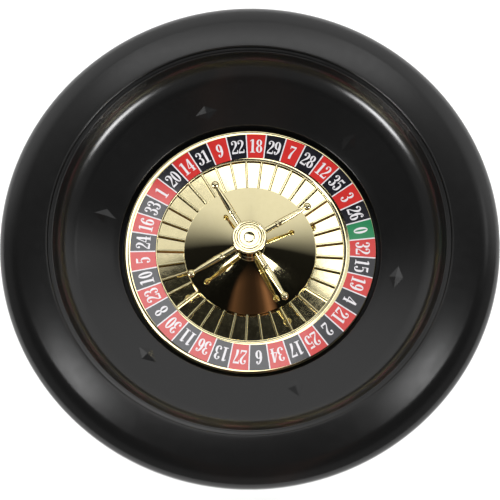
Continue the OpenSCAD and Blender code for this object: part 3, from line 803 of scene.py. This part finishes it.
# Each digit is 3.9 mm wide and 8.8 mm tall: thick upright strokes, thin curves and short feet.
# A ring is (x, y, outer half width, outer half height, inner half width, inner half height);
# a stroke is a row of (x, y, width); a plate is four corners; a dot is (x, y, radius).
DIGITS = {
    "0": {"ring": [(0, 0, 1.95, 4.4, 0.62, 3.85)]},
    "1": {
        "plate": [
            [(-0.7, 4.4), (0.7, 4.4), (0.7, -4.1), (-0.7, -4.1)],
            [(-1.6, -3.9), (1.6, -3.9), (1.6, -4.4), (-1.6, -4.4)],
            [(-1.7, 3.5), (-0.5, 4.4), (-0.5, 3.6), (-1.7, 3.1)],
        ]
    },
    "2": {
        "stroke": [[
            (-1.6, 2.5, 0.5), (-1.35, 3.6, 0.5), (-0.5, 4.15, 0.5), (0.5, 3.95, 0.8),
            (1.15, 3.0, 1.25), (1.2, 1.9, 1.35), (0.7, 0.5, 1.1), (-0.3, -1.0, 0.7),
            (-1.2, -2.3, 0.5), (-1.65, -3.3, 0.4),
        ]],
        "plate": [
            [(-1.85, -3.0), (1.3, -3.5), (1.75, -4.4), (-1.9, -4.4)],
            [(1.55, -2.0), (1.9, -2.0), (1.75, -4.3), (1.1, -3.6)],
        ],
        "dot": [(-1.2, 2.35, 0.66)],
    },
    "3": {
        "stroke": [
            [
                (-1.5, 3.0, 0.45), (-1.0, 3.9, 0.5), (-0.1, 4.15, 0.5), (0.8, 3.6, 0.95),
                (1.15, 2.5, 1.3), (0.95, 1.3, 1.15), (0.4, 0.55, 0.6), (-0.5, 0.3, 0.4),
            ],
            [
                (-0.5, 0.3, 0.4), (0.5, 0.1, 0.6), (1.15, -0.8, 1.15), (1.3, -2.1, 1.35),
                (0.95, -3.4, 1.1), (0.1, -4.1, 0.6), (-0.9, -4.0, 0.5), (-1.5, -3.1, 0.45),
            ],
        ],
        "dot": [(-1.15, 2.75, 0.64), (-1.15, -2.8, 0.66)],
    },
    "4": {
        "plate": [
            [(0.05, 4.4), (1.35, 4.4), (1.35, -4.1), (0.05, -4.1)],
            [(-1.95, -1.3), (1.95, -1.3), (1.95, -1.85), (-1.95, -1.85)],
            [(0.2, 4.4), (0.6, 4.0), (-1.45, -1.4), (-1.95, -1.4)],
            [(-0.6, -4.0), (1.9, -4.0), (1.9, -4.4), (-0.6, -4.4)],
        ]
    },
    "5": {
        "stroke": [[
            (-1.3, 0.4, 0.35), (-0.6, 1.1, 0.45), (0.3, 1.15, 0.6), (1.05, 0.4, 1.1),
            (1.25, -1.2, 1.35), (1.1, -2.9, 1.2), (0.3, -4.0, 0.65), (-0.8, -4.1, 0.5),
            (-1.5, -3.2, 0.45),
        ]],
        "plate": [
            [(-1.4, 4.35), (1.6, 4.35), (1.2, 3.15), (-1.4, 3.15)],
            [(-1.5, 4.35), (-1.1, 4.35), (-1.1, 0.4), (-1.5, 0.4)],
        ],
        "dot": [(-1.15, -2.85, 0.66)],
    },
    "6": {
        "ring": [(0, -1.75, 1.95, 2.65, 0.62, 2.15)],
        "stroke": [[
            (-1.28, -1.7, 1.3), (-1.25, 0.6, 1.35), (-0.95, 2.2, 1.2), (-0.2, 3.6, 0.8),
            (0.5, 4.1, 0.5), (1.2, 3.9, 0.45), (1.5, 3.2, 0.45),
        ]],
        "dot": [(1.15, 2.95, 0.62)],
    },
    "7": {
        "stroke": [[
            (1.6, 3.7, 0.4), (1.0, 2.0, 0.6), (0.3, 0.2, 0.95), (-0.2, -1.6, 1.3),
            (-0.4, -3.2, 1.45), (-0.4, -4.4, 1.4),
        ]],
        "plate": [
            [(-1.75, 4.35), (1.9, 4.35), (1.7, 3.2), (-1.4, 3.2)],
            [(-1.9, 4.35), (-1.5, 4.35), (-1.4, 2.1), (-1.75, 2.1)],
        ],
    },
    "8": {"ring": [(0, 2.3, 1.75, 2.1, 0.55, 1.65), (0, -2.0, 1.95, 2.4, 0.62, 1.95)]},
    "9": {},
}


def half_turned(shapes):
    """The same digit upside down."""
    return {
        "ring": [(-s[0], -s[1], *s[2:]) for s in shapes.get("ring", [])],
        "stroke": [[(-x, -y, w) for x, y, w in s] for s in shapes.get("stroke", [])],
        "dot": [(-x, -y, r) for x, y, r in shapes.get("dot", [])],
    }


DIGITS["9"] = half_turned(DIGITS["6"])


def eased(points, per_span=4):
    """A smooth curve through a row of points (Catmull-Rom)."""
    rows = [points[0]] + list(points) + [points[-1]]
    out = []
    for a, b, c, d in zip(rows, rows[1:], rows[2:], rows[3:]):
        for i in range(per_span):
            t = i / per_span
            out.append(tuple(
                0.5 * (
                    2 * q + (r - p) * t + (2 * p - 5 * q + 4 * r - s) * t * t
                    + (3 * q - p - 3 * r + s) * t ** 3
                )
                for p, q, r, s in zip(a, b, c, d)
            ))
    return out + [tuple(points[-1])]


HAIR = 0.0015


def draw_digit(piece, digit, place, low, high):
    """Adds one digit's plates; each is a hair taller than the last so that none coincide."""
    shapes = DIGITS[digit]
    level = high

    def plate(left, right, closed=False):
        nonlocal level
        piece.flat(left, right, low, level, place, 0, closed)
        level += HAIR

    for x, y, a, b, c, d in shapes.get("ring", []):
        turns = [2 * math.pi * k / 40 for k in range(40)]
        plate(
            [(x + c * math.cos(t), y + d * math.sin(t)) for t in turns],
            [(x + a * math.cos(t), y + b * math.sin(t)) for t in turns], True,
        )
    for row in shapes.get("stroke", []):
        line = eased(row)
        left, right = [], []
        for k, (x, y, w) in enumerate(line):
            a, b = line[max(k - 1, 0)], line[min(k + 1, len(line) - 1)]
            dx, dy = b[0] - a[0], b[1] - a[1]
            size = math.hypot(dx, dy)
            left.append((x - dy / size * w / 2, y + dx / size * w / 2))
            right.append((x + dy / size * w / 2, y - dx / size * w / 2))
        plate(left, right)
    for a, b, c, d in shapes.get("plate", []):
        plate([a, b], [d, c])
    for x, y, r in shapes.get("dot", []):
        turns = [math.pi * k / 12 for k in range(13)]
        plate(
            [(x - r * math.cos(t), y + r * math.sin(t)) for t in turns],
            [(x - r * math.cos(t), y - r * math.sin(t)) for t in turns],
        )


numbers = Piece()
MIDDLE_R = LABEL_R - LABEL_W / 2
SPACING = 4.15
for place_no, number in enumerate(ORDER):
    place = (
        LABEL_AT @ Matrix.Rotation(LABEL_TURN - place_no * STEP, 4, "Z")
        @ Matrix.Translation((MIDDLE_R, 0, 0)) @ Matrix.Rotation(-math.pi / 2, 4, "Z")
    )
    digits = str(number)
    for k, digit in enumerate(digits):
        shift = (k - (len(digits) - 1) / 2) * SPACING
        at = place @ Matrix.Translation((shift, 0, 0))
        draw_digit(numbers, digit, at, PRINT_LOW, PRINT_TOP)
numbers.make("number_ring_numbers", [INK_PALE], "rotor", "print")

# ---------------------------------------------------------------- floor, light and camera


FLOOR_HALF = 6.0


def room_floor():
    n = Nodes("pale_floor")
    clouds = n.ramp(n.noise(3, 2), 0, 1)
    n.drive("Base Color", n.blend(clouds, (0.93, 0.93, 0.93), (0.90, 0.90, 0.90)))
    n.set("Roughness", 0.9)
    mesh = bpy.data.meshes.new("floor")
    corners = [(x * FLOOR_HALF, y * FLOOR_HALF, 0) for x, y in ((-1, -1), (1, -1), (1, 1), (-1, 1))]
    mesh.from_pydata(corners, [], [(0, 1, 2, 3)])
    mesh.materials.append(n.material)
    obj = bpy.data.objects.new("floor", mesh)
    bpy.context.scene.collection.objects.link(obj)


room_floor()

ELEVATION = math.radians(74)
CEILING = 2.04
GLINT_AT = (0.128, -0.058, 0.082)
GLINT_WAY = (-0.86, 0.51, -0.05)
GLINT_SPREAD = math.radians(50)


def softbox(name, at, size, radiance, turn=0, way=None):
    """A flat light of a given radiance. It faces straight down, turned, or along a way."""
    light = bpy.data.lights.new(name, "AREA")
    light.shape = "RECTANGLE"
    light.size, light.size_y = size
    light.energy = radiance * size[0] * size[1] * math.pi
    obj = bpy.data.objects.new(name, light)
    obj.location = at
    if way:
        obj.rotation_euler = Vector(way).to_track_quat("-Z", "Y").to_euler()
    else:
        obj.rotation_euler = (0, 0, math.radians(turn))
    obj.visible_camera = False
    bpy.context.scene.collection.objects.link(obj)
    return obj


softbox("overhead", (-0.15, 0.36, CEILING), (0.42, 0.62), 2.4, turn=-19)
softbox("overhead_right", (0.25, 0.34, CEILING), (0.34, 0.50), 0.85, turn=-19)
for side, shift in ((-1, -0.05), (1, 0.0)):
    lamp_at = (0.61 * side + shift, 0.06, CEILING)
    softbox("lamp_%d" % side, lamp_at, (0.24, 0.22), 8.0, turn=-39.6 * side)
    # A small light just above the brim, for the soft highlight in the hollow of the track
    glint_at, glint_way = ((v[0] * side, v[1], v[2]) for v in (GLINT_AT, GLINT_WAY))
    glint = softbox("glint_%d" % side, glint_at, (0.08, 0.04), 2.3, way=glint_way)
    glint.data.spread = GLINT_SPREAD
softbox("behind", (0, 1.35, CEILING), (1.2, 0.32), 1.9)

# Light along the camera's way, which shows in no mirror
sun = bpy.data.lights.new("even_light", "SUN")
sun.energy = 1.1 * math.pi
sun.angle = math.radians(12)
even = bpy.data.objects.new("even_light", sun)
even.location = (0, 0, 3)
even.rotation_euler = (math.radians(90) - ELEVATION, 0, 0)
even.visible_camera = False
even.visible_glossy = False
bpy.context.scene.collection.objects.link(even)


def room():
    """White to the eye. To a surface it is a dark room.

    It has a pale wall at the back and sides, a weak glow from below, one bright lamp on the
    right, and a warm streak in front.
    """
    world = bpy.data.worlds.new("room")
    bpy.context.scene.world = world
    world.use_nodes = True
    tree = world.node_tree
    tree.nodes.clear()

    def add(kind, **values):
        node = tree.nodes.new(kind)
        for key, value in values.items():
            setattr(node, key, value)
        return node

    where = add("ShaderNodeTexCoord")
    parts = add("ShaderNodeSeparateXYZ")
    tree.links.new(where.outputs["Generated"], parts.inputs[0])

    def sum_of(a, factor, b):
        node = add("ShaderNodeMath", operation="MULTIPLY_ADD")
        tree.links.new(a, node.inputs[0])
        node.inputs[1].default_value = factor
        tree.links.new(b, node.inputs[2])
        return node.outputs[0]

    def distance_from(direction):
        node = add("ShaderNodeVectorMath", operation="DISTANCE")
        tree.links.new(where.outputs["Generated"], node.inputs[0])
        node.inputs[1].default_value = direction
        return node.outputs["Value"]

    def mixed(kind, a, b):
        node = add("ShaderNodeMix", data_type="RGBA", blend_type=kind)
        node.inputs["Factor"].default_value = 1
        tree.links.new(a, node.inputs["A"])
        if isinstance(b, tuple):
            node.inputs["B"].default_value = b
        else:
            tree.links.new(b, node.inputs["B"])
        return node.outputs["Result"]

    def greys(value, stops, shift=0.0):
        """A grey for each value; the stops' positions are the values plus shift."""
        moved = add("ShaderNodeMath", operation="ADD")
        tree.links.new(value, moved.inputs[0])
        moved.inputs[1].default_value = shift
        value = moved.outputs[0]
        ramp = add("ShaderNodeValToRGB")
        for k, (at, grey) in enumerate(stops):
            stop = ramp.color_ramp.elements[k] if k < 2 else ramp.color_ramp.elements.new(at)
            stop.position = at
            stop.color = (grey, grey, grey, 1)
        tree.links.new(value, ramp.inputs[0])
        return ramp.outputs[0]

    aside = add("ShaderNodeMath", operation="ABSOLUTE")
    tree.links.new(parts.outputs["X"], aside.inputs[0])
    reach = sum_of(aside.outputs[0], 0.35, sum_of(parts.outputs["X"], 0.07, parts.outputs["Y"]))
    wall = greys(reach, (
        (0.0, 0.004), (0.42, 0.01), (0.50, 0.18), (0.56, 0.38), (0.63, 0.64), (0.70, 0.86),
        (0.80, 0.95),
    ))
    low = greys(parts.outputs["Z"], ((0.0, 0.24), (0.55, 0.20), (0.75, 0.0)))
    lamp = greys(distance_from((0.64, 0.32, 0.70)), (
        (0.0, 1.4), (0.08, 1.1), (0.113, 0.5), (0.14, 0.25), (0.19, 0.0),
    ))
    near = greys(parts.outputs["Y"], ((0.25, 1.0), (0.33, 1.0), (0.37, 0.0)), 0.5)
    streak = greys(parts.outputs["X"], (
        (0.30, 0.0), (0.35, 0.10), (0.40, 0.06), (0.45, 0.035), (0.50, 0.025),
        (0.55, 0.03), (0.60, 0.07), (0.65, 0.28), (0.68, 0.14), (0.71, 0.0),
    ), 0.5)
    warm = mixed("MULTIPLY", streak, (1, 0.48, 0.28, 1))
    light = mixed("LIGHTEN", mixed("LIGHTEN", wall, low), lamp)
    light = mixed("ADD", light, mixed("MULTIPLY", warm, near))
    glow = add("ShaderNodeBackground")
    tree.links.new(light, glow.inputs["Color"])
    pale = add("ShaderNodeBackground")
    pale.inputs["Color"].default_value = (1, 1, 1, 1)
    path = add("ShaderNodeLightPath")
    pick = add("ShaderNodeMixShader")
    out = add("ShaderNodeOutputWorld")
    tree.links.new(path.outputs["Is Camera Ray"], pick.inputs["Fac"])
    tree.links.new(glow.outputs[0], pick.inputs[1])
    tree.links.new(pale.outputs[0], pick.inputs[2])
    tree.links.new(pick.outputs[0], out.inputs["Surface"])


room()

DISTANCE = 0.991
AIM = Vector((0.0003, -0.0063, 0.0421))
ASIDE = 0.0125
LENS = 116.85
camera = bpy.data.cameras.new("photo_view")
camera.sensor_width = 36
camera.lens = LENS
camera.clip_start = 0.05
camera.clip_end = 50
eye = bpy.data.objects.new("photo_view", camera)
eye.location = AIM + Vector(
    (ASIDE, -math.cos(ELEVATION) * DISTANCE, math.sin(ELEVATION) * DISTANCE)
)
back = (eye.location - AIM).normalized()
right = Vector((0, 1, 0)).cross(back).normalized()
eye.rotation_euler = Matrix((right, back.cross(right), back)).transposed().to_euler()
bpy.context.scene.collection.objects.link(eye)
bpy.context.scene.camera = eye
bpy.context.scene.view_settings.view_transform = "Standard"
